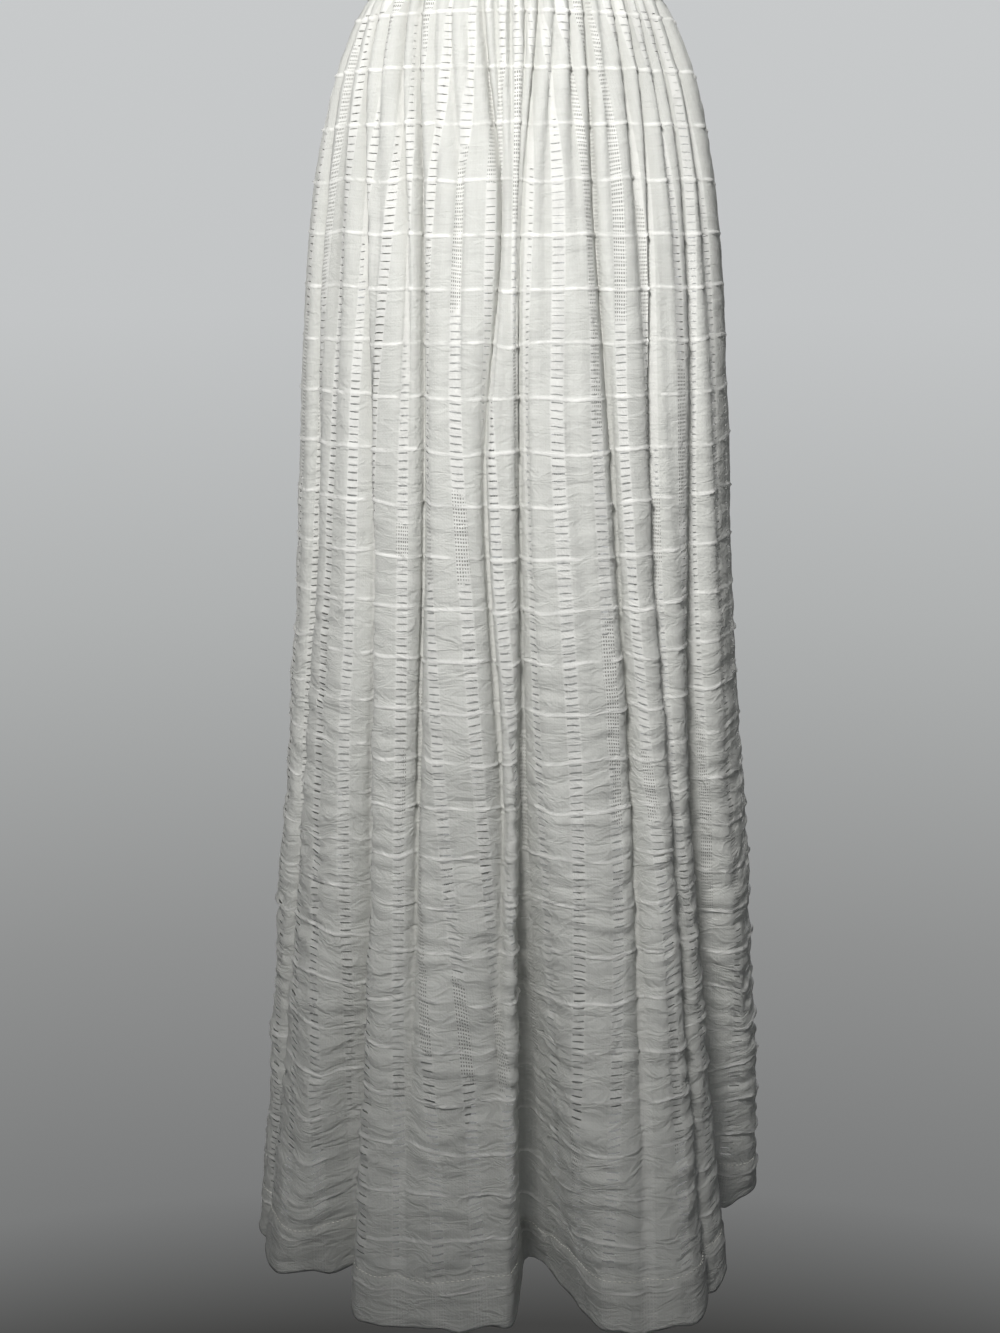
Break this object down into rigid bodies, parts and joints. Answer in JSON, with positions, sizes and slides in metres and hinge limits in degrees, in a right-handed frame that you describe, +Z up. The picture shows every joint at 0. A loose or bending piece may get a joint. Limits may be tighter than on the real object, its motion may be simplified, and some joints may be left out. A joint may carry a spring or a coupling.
{
  "type": "maxi dress",
  "caption": "Sleeveless full-length dress of ivory windowpane openwork cotton, its long skirt gathered at the waist and falling in deep soft folds to a turned-up hem, shown hollow as if worn",
  "frame": {"origin": "midway between the two shoulder seams, at their neck ends' height, where the wearer's shoulders carry the dress", "axes": "+Z up along the wearer, -Y the front of the dress, +X the wearer's left side, which is on the right in the picture"},
  "size_m": [0.4613, 0.4202, 1.4602],
  "materials": {
    "ivory_cotton": "thin unbleached cotton, plain weave with ladder openwork stripes and raised slub cords, matt, softly creased, lets some light through"
  },
  "bodies": {
    "root": {"skirt_front": "ivory_cotton", "skirt_back": "ivory_cotton", "bodice_front": "ivory_cotton", "bodice_back": "ivory_cotton"}
  },
  "joints": []
}
